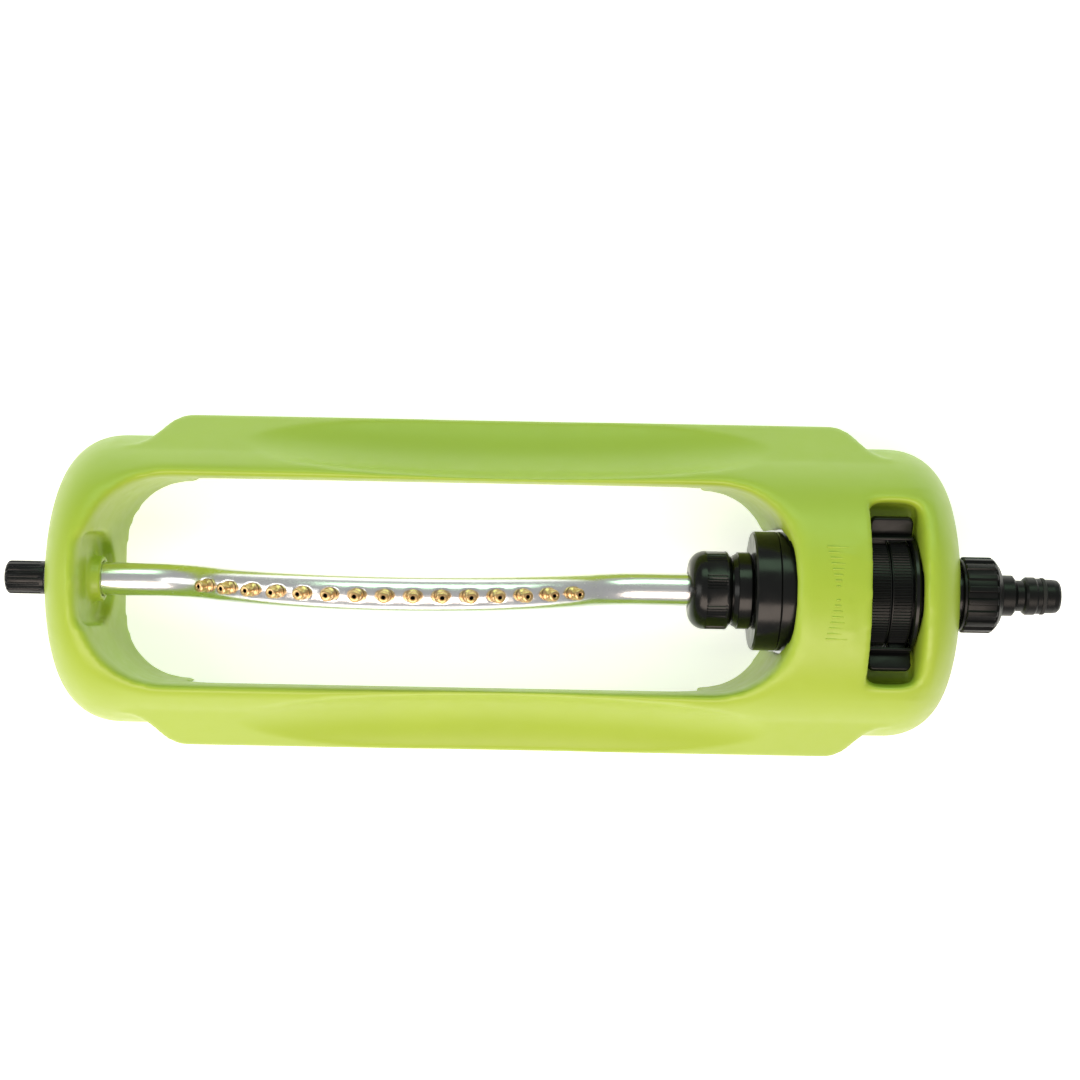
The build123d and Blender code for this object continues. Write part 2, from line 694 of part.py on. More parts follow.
with BuildPart() as lay_shaft:
    with BuildSketch(section_at(hub_disc[1] + 0.7)):
        with Locations((0, -lay_distance)):
            Circle(pin_radius)
    extrude(amount=gear_plate_x[1] - hub_disc[1] - 0.7)
finish("lay_shaft", lay_shaft)

with BuildPart() as jet_selector:
    with BuildSketch(section_at(selector_x[0])):
        Circle(jet_hole_radius + 3.0)
        Circle(pin_radius + running_gap, mode=Mode.SUBTRACT)
        with PolarLocations(jet_hole_radius, 4, start_angle=45 + 12):
            Circle(1.8, mode=Mode.SUBTRACT)
    extrude(amount=selector_x[1] - selector_x[0])
    with BuildSketch(section_at(selector_x[1])):
        with PolarLocations(8.0, 2, start_angle=0):
            Rectangle(12.0, 2.0)
    extrude(amount=3.0)
finish("jet_selector", jet_selector)

filter_x = (190.0, 203.6)
with BuildPart() as inlet_filter:
    turn((
        (filter_x[0], 0), (filter_x[0], 5.0), (filter_x[1] - 1.4, 7.0), (filter_x[1] - 1.4, stub_bore - 0.1),
        (filter_x[1], stub_bore - 0.1), (filter_x[1], 6.2), (filter_x[0] + 1.0, 4.2), (filter_x[0] + 1.0, 0),
    ))
    with BuildSketch(section_at(filter_x[0] + 2.0)):
        with PolarLocations(5.6, 12):
            Rectangle(5.0, 1.2)
    extrude(amount=8.6, mode=Mode.SUBTRACT)
finish("inlet_filter", inlet_filter)

# ================================================================ gears
def involute(angle):
    return tan(angle) - angle


def tooth_half_angle(teeth, radius, thinned):
    """Half the angle that one tooth takes up at a radius."""
    pitch_radius = teeth * gear_module / 2
    base = pitch_radius * cos(pressure)
    at_pitch = (pi * gear_module / 2 - thinned) / (2 * pitch_radius)
    return at_pitch + involute(pressure) - involute(acos(min(1, base / radius)))


def gear_outline(teeth, phase, outer, inner, thinned):
    """Closed outline of a gear whose first tooth points at phase, in radians."""
    pitch_radius = teeth * gear_module / 2
    base = max(inner, pitch_radius * cos(pressure))
    flank = [(r, tooth_half_angle(teeth, r, thinned)) for r in (base, pitch_radius, outer)]
    if inner < base:
        flank.insert(0, (inner, flank[0][1]))
    points = []
    for tooth in range(teeth):
        middle = phase + 2 * pi * tooth / teeth
        rising = [(r, middle - half) for r, half in flank]
        falling = [(r, middle + half) for r, half in reversed(flank)]
        points += [(r * cos(angle), r * sin(angle)) for r, angle in rising + falling]
    return points


def cut_gear(teeth, start, width, phase):
    """A spur gear on the part being built, centred on its working plane."""
    pitch_radius = teeth * gear_module / 2
    outline = gear_outline(teeth, phase, pitch_radius + addendum, pitch_radius - dedendum, backlash)
    with BuildSketch(section_at(start)) as blank:
        with BuildLine():
            Polyline(*outline, close=True)
        make_face()
    extrude(blank.sketch, amount=width)


to_lay = radians(-90)      # direction from the main axis to the lay shaft
wheel_gap = pi / wheel_teeth
turbine_pinion_x = first_wheel_x - 0.4

with BuildPart() as turbine:
    cut_gear(pinion_teeth, turbine_pinion_x, pinion_face, to_lay)
    rod(turbine_pinion_x + pinion_face, turbine_x[0], 3.0)
    rod(turbine_x[0], turbine_x[1], 4.5)
    with BuildSketch(section_at(turbine_x[0] + 2.6)):
        Circle(turbine_radius)
    extrude(amount=1.6)
    with BuildSketch(section_at(turbine_x[0])):
        with PolarLocations(jet_hole_radius, blade_count):
            Rectangle(2 * (turbine_radius - jet_hole_radius), 1.0)
    extrude(amount=turbine_x[1] - turbine_x[0])
    rod(turbine_pinion_x - overrun, turbine_x[1] + overrun, pin_radius + running_gap, Mode.SUBTRACT)
finish("turbine", turbine)

for stage in range(3):
    wheel_x = first_wheel_x - stage * stage_pitch
    on_lay = stage % 2 == 0
    mesh_side = to_lay + pi if on_lay else to_lay
    drive_side = mesh_side + pi if stage == 2 else mesh_side
    pinion_length = pinion_face if stage < 2 else 7.4
    with BuildPart() as gear:
        cut_gear(wheel_teeth, wheel_x, gear_face, mesh_side + wheel_gap)
        cut_gear(pinion_teeth, wheel_x - pinion_length, pinion_length, drive_side)
        rod(wheel_x - pinion_length - overrun, wheel_x + gear_face + overrun,
            pin_radius + running_gap, Mode.SUBTRACT)
    if on_lay:
        gear.part.move(Location((0, 0, -lay_distance)))
    finish(f"gear_{stage + 1}", gear)

ring_x = (hub_disc[1], 129.5)
with BuildPart() as ring_gear:
    ring_pitch = ring_teeth * gear_module / 2
    space = gear_outline(ring_teeth, to_lay, ring_pitch + dedendum, ring_pitch - addendum, -backlash)
    with BuildSketch(section_at(ring_x[0])):
        Circle(hub_disc_radius)
        with BuildLine():
            Polyline(*space, close=True)
        make_face(mode=Mode.SUBTRACT)
    extrude(amount=ring_x[1] - ring_x[0])
finish("ring_gear", ring_gear)

# ================================================================ range rings
for name, start, side in (("range_ring_front", ring_starts[0], 1), ("range_ring_rear", ring_starts[1], -1)):
    blade = Plane(
        origin=(start, 0, axis_height),
        x_dir=(0, side * sin(radians(paddle_angle)), cos(radians(paddle_angle))),
        z_dir=(1, 0, 0),
    )
    with BuildPart() as range_ring:
        sleeve(start, start + ring_width, ring_radius, ring_seat_radius + running_gap)
        with BuildSketch(blade):
            with Locations(((ring_seat_radius + paddle_root) / 2, 0)):
                Rectangle(paddle_root + 2.0 - ring_seat_radius, paddle_thickness + 1.0)
        extrude(amount=ring_width)
        sleeve(start - overrun, start + ring_width + overrun, ring_seat_radius + running_gap,
               ring_seat_radius - 2, Mode.SUBTRACT)
        with BuildSketch(blade.offset(paddle_x[0] - start)):
            with Locations(((paddle_root + paddle_tip) / 2, 0)):
                Rectangle(paddle_tip - paddle_root, paddle_thickness)
        extrude(amount=paddle_x[1] - paddle_x[0])
    finish(name, range_ring)

# ================================================================ hose inlet
nut_end_x = 211.5
nipple_flange = (205.1, 207.7)
nose_groove = (229.9, 232.1)

with BuildPart() as swivel_nut:
    bore = stub_radius + loose_gap
    turn((
        (nut_x[0], bore), (nipple_flange[1] + 0.2, bore), (nipple_flange[1] + 0.2, 9.5), (nut_end_x, 9.5),
        (nut_end_x, 11.2), (209.2, 14.0), (207.4, 14.6), (nut_x[1], nut_radius - 0.2),
        (nut_x[1] - 0.4, nut_radius), (nut_x[0] + 0.6, nut_radius), (nut_x[0], nut_radius - 0.6),
    ))
    with BuildSketch(section_at(nut_x[0] + 2.0)):
        with PolarLocations(nut_radius + 0.9, 12):
            Circle(2.2)
    extrude(amount=nut_x[1] - nut_x[0] + 4.0, mode=Mode.SUBTRACT)
finish("swivel_nut", swivel_nut)

with BuildPart() as inlet_washer:
    sleeve(stub_end_x + 0.05, nipple_flange[0] - 0.05, stub_radius - 1.0, 7.0)
finish("inlet_washer", inlet_washer)

with BuildPart() as hose_nipple:
    turn((
        (nipple_flange[0], nose_bore), (half_length - 0.8, nose_bore), (half_length, nose_bore + 0.8),
        (half_length, 6.6), (half_length - 1.0, 7.4), (half_length - 3.0, 7.7), (nose_groove[1], 7.7),
        (nose_groove[1], 6.9), (nose_groove[0], 6.9), (nose_groove[0], 8.1), (228.0, 8.1),
        (227.2, nose_shoulder_radius), (223.6, nose_shoulder_radius), (222.6, 7.9), (221.9, 7.0),
        (219.0, 7.0), (217.6, 8.8), (217.2, 9.25), (nipple_flange[1], 9.25),
        (nipple_flange[1], stub_radius - 0.7), (nipple_flange[0], stub_radius - 0.7),
    ))
finish("hose_nipple", hose_nipple)

with BuildPart() as nipple_oring:
    sleeve(nose_groove[0] + 0.1, nose_groove[1] - 0.1, 8.4, 6.95)
    fillet(nipple_oring.edges().filter_by(GeomType.CIRCLE).group_by(SortBy.RADIUS)[-1], radius=0.7)
finish("nipple_oring", nipple_oring)
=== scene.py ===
"""Looks of an oscillating lawn sprinkler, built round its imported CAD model, in metres."""
import json
from math import atan2, cos, hypot, inf, pi, radians, sin, sqrt

import bmesh
import bpy
from bpy.props import FloatProperty, FloatVectorProperty, IntProperty, PointerProperty
from mathutils import Matrix, Vector


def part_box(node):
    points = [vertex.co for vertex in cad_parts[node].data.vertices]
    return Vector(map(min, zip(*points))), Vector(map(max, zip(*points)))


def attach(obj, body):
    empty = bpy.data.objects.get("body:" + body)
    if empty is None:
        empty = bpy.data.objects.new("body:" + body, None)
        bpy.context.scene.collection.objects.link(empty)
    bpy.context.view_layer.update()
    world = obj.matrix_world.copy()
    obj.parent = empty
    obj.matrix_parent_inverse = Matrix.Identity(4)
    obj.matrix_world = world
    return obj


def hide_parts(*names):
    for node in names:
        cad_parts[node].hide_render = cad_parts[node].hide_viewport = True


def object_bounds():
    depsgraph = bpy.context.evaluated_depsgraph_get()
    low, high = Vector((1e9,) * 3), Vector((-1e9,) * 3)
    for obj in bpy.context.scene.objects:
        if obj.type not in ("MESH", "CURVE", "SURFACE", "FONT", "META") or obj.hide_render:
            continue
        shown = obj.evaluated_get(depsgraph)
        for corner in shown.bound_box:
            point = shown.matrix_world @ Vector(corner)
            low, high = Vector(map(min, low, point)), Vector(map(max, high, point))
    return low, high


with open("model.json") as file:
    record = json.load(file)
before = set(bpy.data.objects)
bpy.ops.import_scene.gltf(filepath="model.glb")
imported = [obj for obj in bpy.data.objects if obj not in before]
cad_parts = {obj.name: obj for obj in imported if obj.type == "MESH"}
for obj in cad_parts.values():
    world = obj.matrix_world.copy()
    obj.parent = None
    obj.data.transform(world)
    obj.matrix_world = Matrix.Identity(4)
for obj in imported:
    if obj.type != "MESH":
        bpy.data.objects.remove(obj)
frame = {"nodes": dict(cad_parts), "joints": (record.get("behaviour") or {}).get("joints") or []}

cad_low, cad_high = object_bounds()

bl_info = {
    "name": "Oscillating sprinkler",
    "version": (1, 0, 0),
    "blender": (4, 5, 0),
    "location": "View3D > Sidebar > Sprinkler",
    "description": "Moulded, turned and polished pieces of an oscillating lawn sprinkler",
    "category": "Object",
}

MM = 0.001
AXIS_Z = next(j["pos_m"][2] for j in frame["joints"] if j["name"] == "tube_swing")
AXIS = Vector((0, 0, AXIS_Z))
ALONG = Vector((1, 0, 0))


# ---------------------------------------------------------------- settings
def length(name, description, millimetres, **more):
    """A length property, stored in metres."""
    return FloatProperty(
        name=name, description=description, default=millimetres * MM, unit="LENGTH", precision=5, **more
    )


def colour(name, description, default):
    return FloatVectorProperty(
        name=name, description=description, default=default, size=3, min=0, max=1, subtype="COLOR"
    )


class FinishSettings(bpy.types.PropertyGroup):
    """Colours of the mouldings and metals."""
    lime: colour("Lime", "Colour of the base moulding", (0.36, 0.49, 0.042))
    black: colour("Black", "Colour of the black mouldings", (0.004, 0.0045, 0.0045))
    natural: colour("Natural", "Colour of the acetal gears and plates", (0.78, 0.77, 0.72))
    aluminium: colour("Aluminium", "Colour of the spray tube", (0.90, 0.905, 0.915))
    brass: colour("Brass", "Colour of the jets", (0.70, 0.47, 0.22))
    steel: colour("Steel", "Colour of screws and shafts", (0.56, 0.56, 0.57))


class BaseSettings(bpy.types.PropertyGroup):
    """Soft edges of the base moulding."""
    voxel: length("Voxel", "Cell size when the moulding is softened", 1.65)
    rim_reach: length("Rim reach", "How far from the edge of an opening its rim is rounded", 6.0)
    rim_fade: FloatProperty(name="Rim fade", description="Share of the rounding lost across the reach",
                            default=0.4, min=0, max=1)
    edge_passes: IntProperty(name="Edge passes", description="Smoothing passes on every edge", default=4)
    rim_passes: IntProperty(name="Rim passes", description="Extra smoothing passes on the rims", default=60)
    opening_corner: length("Opening corner", "Corner radius of the central opening", 30.0)
    opening_left: length("Opening left", "Plug-end edge of the opening at the top", -197.5)
    opening_right: length("Opening right", "Inlet-end edge of the opening at the top", 115.0)
    opening_width: length("Opening width", "Width of the opening", 93.0)
    window_left: length("Window left", "Plug-side edge of the ring window", 148.8)
    window_right: length("Window right", "Inlet-side edge of the ring window", 171.8)
    window_width: length("Window width", "Width of the ring window", 81.6)
    arch_radius: length("Arch radius", "Radius of the round top of the moulding", 67.5)
    arch_centre: length("Arch centre", "Height of the middle of the round top", 8.5)
    rim_depth: length("Rim depth", "How far below the round top the rims are smoothed", 13.0)


class TickSettings(bpy.types.PropertyGroup):
    """Raised tick scale beside the ring window."""
    station: length("Station", "Middle of the ticks along the base", 133.5)
    count: IntProperty(name="Count", description="Ticks on each side", default=8)
    first: length("First", "Distance of the first tick from the middle", 3.0)
    pitch: length("Pitch", "Distance between ticks", 2.5)
    shortest: length("Shortest", "Length of the tick nearest the middle", 2.0)
    longest: length("Longest", "Length of the outermost tick", 9.6)
    thickness: length("Thickness", "Width of one tick", 0.8)
    height: length("Height", "How far a tick stands up", 0.4)
    root: length("Root", "How far a tick reaches into the moulding", 1.0)
    edge: length("Edge", "Radius of a tick's edges", 0.32)


class TubeSettings(bpy.types.PropertyGroup):
    """Bowed spray tube and its jets."""
    radius: length("Radius", "Outer radius of the tube", 7.5)
    wall: length("Wall", "Wall of the tube", 1.0)
    bow_centre: length("Bow centre", "Station of the crown of the bow", -60.5)
    bow_half: length("Bow half length", "Half the length of the bowed stretch", 112.0)
    bow_rise: length("Bow rise", "Height of the crown above the axis", 34.0)
    end_bend: length("End bend", "Radius of the two end bends", 50.0)
    lean: FloatProperty(name="Lean", description="Lean of the bow at rest", default=radians(6.5),
                        subtype="ANGLE")
    jets: IntProperty(name="Jets", description="Number of jets", default=15)
    jet_pitch: length("Jet pitch", "Distance between jets along the bow", 11.65)
    jet_shift: length("Jet shift", "Distance of the middle jet from the middle of the bow", -3.0)
    seat: length("Seat", "Height of the jet seats above the centreline", 6.95)
    dimple: length("Dimple", "Radius of the pressed dimple round a jet", 4.6)
    dimple_sink: length("Dimple sink", "How far the dimple lies below the jet seat", 0.25)
    dimple_flat: FloatProperty(name="Dimple flat", description="Share of the dimple that is flat",
                               default=0.62, min=0, max=1)


SETTINGS = (FinishSettings, BaseSettings, TickSettings, TubeSettings)


# ---------------------------------------------------------------- materials
def new_material(name):
    """A node material with its Principled shader."""
    material = bpy.data.materials.new(name)
    material.use_nodes = True
    return material, material.node_tree, material.node_tree.nodes["Principled BSDF"]


def noise_field(tree, scale, detail=3.0, stretch=(1, 1, 1)):
    """Noise on object coordinates; scale is in cells per metre."""
    place = tree.nodes.new("ShaderNodeTexCoord")
    mapping = tree.nodes.new("ShaderNodeMapping")
    mapping.inputs["Scale"].default_value = stretch
    noise = tree.nodes.new("ShaderNodeTexNoise")
    noise.inputs["Scale"].default_value = scale
    noise.inputs["Detail"].default_value = detail
    tree.links.new(place.outputs["Object"], mapping.inputs["Vector"])
    tree.links.new(mapping.outputs["Vector"], noise.inputs["Vector"])
    return noise.outputs["Fac"]


def spread(tree, factor, low, high):
    """A factor spread between two values."""
    spreader = tree.nodes.new("ShaderNodeMapRange")
    spreader.inputs["From Min"].default_value = 0.3
    spreader.inputs["From Max"].default_value = 0.7
    spreader.inputs["To Min"].default_value = low
    spreader.inputs["To Max"].default_value = high
    tree.links.new(factor, spreader.inputs["Value"])
    return spreader.outputs["Result"]


def tinted(tree, factor, colour_value, darker):
    """The colour, varied by the factor towards a darker shade of itself."""
    mix = tree.nodes.new("ShaderNodeMix")
    mix.data_type = "RGBA"
    mix.inputs["A"].default_value = (*(c * darker for c in colour_value), 1)
    mix.inputs["B"].default_value = (*colour_value, 1)
    tree.links.new(factor, mix.inputs["Factor"])
    return mix.outputs["Result"]


def bumped(tree, shader, heights):
    """Chain bump nodes from (height, strength, depth) into the shader's normal."""
    normal = None
    for height, strength, depth in heights:
        bump = tree.nodes.new("ShaderNodeBump")
        bump.inputs["Strength"].default_value = strength
        bump.inputs["Distance"].default_value = depth
        tree.links.new(height, bump.inputs["Height"])
        if normal:
            tree.links.new(normal, bump.inputs["Normal"])
        normal = bump.outputs["Normal"]
    tree.links.new(normal, shader.inputs["Normal"])


def moulded_plastic(name, base, roughness, grain=0.25, darker=0.93, cloud=28.0, specular=0.5):
    """Injection-moulded plastic: faint cloudiness, uneven gloss and a fine orange peel."""
    material, tree, shader = new_material(name)
    tree.links.new(
        tinted(tree, spread(tree, noise_field(tree, cloud), 0, 1), base, darker), shader.inputs["Base Color"]
    )
    tree.links.new(
        spread(tree, noise_field(tree, 160.0, 4.0), roughness - 0.04, roughness + 0.05),
        shader.inputs["Roughness"],
    )
    shader.inputs["Specular IOR Level"].default_value = specular
    bumped(tree, shader, [
        (noise_field(tree, 420.0, 2.0), grain, 0.00006),
        (noise_field(tree, 2600.0, 2.0), grain * 0.6, 0.00001),
    ])
    return material


def polished_metal(name, base, roughness, stretch, grain=0.2, scale=900.0):
    """Bright metal with fine drawing or turning lines."""
    material, tree, shader = new_material(name)
    lines = noise_field(tree, scale, 4.0, stretch)
    tree.links.new(tinted(tree, spread(tree, noise_field(tree, 120.0), 0, 1), base, 0.95),
                   shader.inputs["Base Color"])
    tree.links.new(spread(tree, lines, roughness - 0.03, roughness + 0.04), shader.inputs["Roughness"])
    shader.inputs["Metallic"].default_value = 1.0
    bumped(tree, shader, [(lines, grain, 0.000012)])
    return material


def make_materials():
    """Every finish of the sprinkler, by slot and use, and a near-black painted shade for the insides of the
    jet bores.
    """
    hue = bpy.context.scene.sprinkler_finishes
    return {
        "lime": moulded_plastic("lime_polypropylene", hue.lime, 0.38, grain=0.16, darker=0.965),
        "gloss_black": moulded_plastic("gloss_black_moulding", hue.black, 0.22, grain=0.2, darker=0.7,
                                       specular=0.30),
        "satin_black": moulded_plastic("satin_black_moulding", hue.black, 0.34, grain=0.35, darker=0.7,
                                       specular=0.22),
        "natural": moulded_plastic("natural_acetal", hue.natural, 0.38, grain=0.2, darker=0.96),
        "rubber": moulded_plastic("nitrile_rubber", (0.018, 0.018, 0.018), 0.62, grain=0.4, darker=0.8,
                                  specular=0.3),
        "aluminium": polished_metal("polished_aluminium", hue.aluminium, 0.24, (0.02, 1, 1)),
        "brass": polished_metal("turned_brass", hue.brass, 0.30, (1, 1, 1), grain=0.05, scale=2400.0),
        # painted shade: the brass bores of the jets are coloured near-black, as they look in shadow
        "bore": moulded_plastic("painted_shade_bore", (0.012, 0.009, 0.006), 0.6, grain=0.1),
        "steel": polished_metal("stainless_steel", hue.steel, 0.27, (1, 1, 0.1), grain=0.3, scale=1500.0),
    }


MATERIALS = {}


# ---------------------------------------------------------------- mesh helpers
def new_piece(name, bm, body, materials, stands_for=(), sharp=radians(32)):
    """Finish a bmesh as a piece that rides on a body and may stand for CAD nodes."""
    mesh = bpy.data.meshes.new(name)
    bm.normal_update()
    bm.to_mesh(mesh)
    bm.free()
    piece = bpy.data.objects.new(name, mesh)
    bpy.context.scene.collection.objects.link(piece)
    for material in materials:
        mesh.materials.append(MATERIALS[material])
    mesh.shade_smooth()
    mesh.set_sharp_from_angle(angle=sharp)
    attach(piece, body)
    if stands_for:
        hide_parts(*stands_for)
    return piece


def turned(outline, steps):
    """A closed outline of (station, radius) points, turned about the swing axis."""
    bm = bmesh.new()
    loop = [bm.verts.new(AXIS + Vector((x, 0, radius))) for x, radius in outline]
    pairs = list(zip(loop, loop[1:] + loop[:1]))
    edges = [bm.edges.new(pair) for pair in pairs if any((v.co - AXIS).z > 1e-6 for v in pair)]
    bmesh.ops.spin(
        bm, geom=loop + edges, cent=AXIS, axis=ALONG, dvec=(0, 0, 0), angle=2 * pi, steps=steps,
        use_merge=True, use_duplicate=False,
    )
    bmesh.ops.remove_doubles(bm, verts=bm.verts, dist=1e-7)
    bmesh.ops.dissolve_degenerate(bm, dist=1e-7, edges=bm.edges)
    bmesh.ops.recalc_face_normals(bm, faces=bm.faces)
    return bm


def push_radially(bm, start, end, least_radius, amount):
    """Move the outer vertices between two stations by amount(angle), away from the swing axis."""
    for vert in bm.verts:
        arm = vert.co - AXIS
        radius = hypot(arm.y, arm.z)
        if start <= vert.co.x <= end and radius > least_radius:
            shift = amount(atan2(arm.z, arm.y))
            vert.co += Vector((0, arm.y, arm.z)) / radius * shift


def rounded_box(bm, low, high, width, turn=Matrix.Identity(4), corner=0.0):
    """A block with rounded edges, turned into place; corner rounds its two upper corners first."""
    low, high = Vector(low), Vector(high)
    before = set(bm.verts)
    size = Matrix.Diagonal((*(high - low), 1))
    bmesh.ops.create_cube(bm, size=1, matrix=Matrix.Translation((low + high) / 2) @ size)
    if corner:
        upper = [
            e for v in bm.verts if v not in before and v.co.z > (low.z + high.z) / 2
            for e in v.link_edges if abs((e.verts[0].co - e.verts[1].co).normalized().y) > 0.9
        ]
        bmesh.ops.bevel(bm, geom=list(set(upper)), offset=corner, offset_type="OFFSET", segments=8,
                        profile=0.5, affect="EDGES", clamp_overlap=True, material=-1)
    made = [v for v in bm.verts if v not in before]
    edges = {e for v in made for e in v.link_edges if e.calc_face_angle(0) > radians(30)}
    bmesh.ops.bevel(bm, geom=list(edges), offset=width, offset_type="OFFSET", segments=3, profile=0.5,
                    affect="EDGES", clamp_overlap=True, material=-1)
    bmesh.ops.transform(bm, matrix=turn, verts=[v for v in bm.verts if v not in before])


def station_box(node):
    """First and last station of a CAD node along the swing axis, and its largest radius."""
    low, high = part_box(node)
    return low.x, high.x, max(high.y, -low.y)


# ---------------------------------------------------------------- base moulding
def opening_distance(point, base):
    """Signed distance from a point to the outline of the central opening, seen from above."""
    centre = (base.opening_left + base.opening_right) / 2
    across = abs(point.x - centre) - ((base.opening_right - base.opening_left) / 2 - base.opening_corner)
    over = abs(point.y) - (base.opening_width / 2 - base.opening_corner)
    return hypot(max(across, 0), max(over, 0)) + min(max(across, over), 0) - base.opening_corner


def window_distance(point, base):
    """Distance from a point to the soft sides of the ring window, seen from above."""
    beside = abs(point.x - base.window_right)
    across = abs(abs(point.y) - base.window_width / 2)
    inside = base.window_left < point.x < base.window_right + base.rim_reach
    level = abs(point.y) < base.window_width / 2 + base.rim_reach
    return min(beside if level else inf, across if inside else inf)


class SPRINKLER_OT_base(bpy.types.Operator):
    """Soften the edges of the base moulding, most of all round the opening and the window"""
    bl_idname = "sprinkler.base"
    bl_label = "Moulded base"

    def execute(self, context):
        base = context.scene.sprinkler_base
        bm = bmesh.new()
        bm.from_mesh(frame["nodes"]["base_shell"].data)
        bmesh.ops.remove_doubles(bm, verts=bm.verts, dist=1e-6)
        blank = new_piece("moulded_base", bm, "base", ["lime"], ["base_shell"])
        remesh = blank.modifiers.new("Remesh", "REMESH")
        remesh.mode = "VOXEL"
        remesh.voxel_size = base.voxel
        bake_modifiers(blank)
        rims = blank.vertex_groups.new(name="rims")
        for vert in blank.data.vertices:
            point = vert.co
            crown = base.arch_centre + sqrt(max(0, base.arch_radius**2 - point.y**2))
            away = min(abs(opening_distance(point, base)), window_distance(point, base))
            if point.z > crown - base.rim_depth and away < base.rim_reach:
                rims.add([vert.index], 1 - base.rim_fade * away / base.rim_reach, "REPLACE")
        for name, passes, group in (("Edges", base.edge_passes, ""), ("Rims", base.rim_passes, "rims")):
            smooth = blank.modifiers.new(name, "SMOOTH")
            smooth.factor = 0.5
            smooth.iterations = passes
            smooth.vertex_group = group
        bake_modifiers(blank)
        blank.vertex_groups.clear()
        blank.data.shade_smooth()
        return {"FINISHED"}


def bake_modifiers(piece):
    """Apply a piece's modifiers to its mesh."""
    evaluated = piece.evaluated_get(bpy.context.evaluated_depsgraph_get())
    mesh = bpy.data.meshes.new_from_object(evaluated)
    piece.modifiers.clear()
    old = piece.data
    piece.data = mesh
    bpy.data.meshes.remove(old)


class SPRINKLER_OT_ticks(bpy.types.Operator):
    """Raise the tick scale beside the ring window"""
    bl_idname = "sprinkler.ticks"
    bl_label = "Tick scale"

    def execute(self, context):
        tick = context.scene.sprinkler_ticks
        bm = bmesh.new()
        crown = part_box("base_shell")[1].z - tick.height
        radius = context.scene.sprinkler_base.arch_radius
        for step in range(tick.count):
            reach = tick.first + tick.pitch * step
            size = tick.shortest + (tick.longest - tick.shortest) * step / (tick.count - 1)
            for side in (-1, 1):
                lean = Matrix.Translation((tick.station, 0, crown - radius)) @ Matrix.Rotation(
                    -side * reach / radius, 4, "X") @ Matrix.Translation((0, 0, radius))
                rounded_box(
                    bm, (-size / 2, -tick.thickness / 2, -tick.root),
                    (size / 2, tick.thickness / 2, tick.height), tick.edge, lean,
                )
        new_piece("tick_scale", bm, "base", ["lime"])
        return {"FINISHED"}


# ---------------------------------------------------------------- spray tube
def bow_frame(tube):
    """Matrix from the bow's own plane (along, up, across) to the row frame."""
    return Matrix.Translation(AXIS) @ Matrix.Rotation(tube.lean, 4, "X")


def bow_shape(tube):
    """Turn of each end bend, and the radius of the bow between them."""
    turn = 2 * atan2(tube.bow_rise, tube.bow_half)
    return turn, tube.bow_half / sin(turn) - tube.end_bend


def jet_angle(tube, index):
    """Angle of one jet round the centre of the bow, from its crown."""
    bow = bow_shape(tube)[1]
    return ((index - (tube.jets - 1) / 2) * tube.jet_pitch + tube.jet_shift) / bow


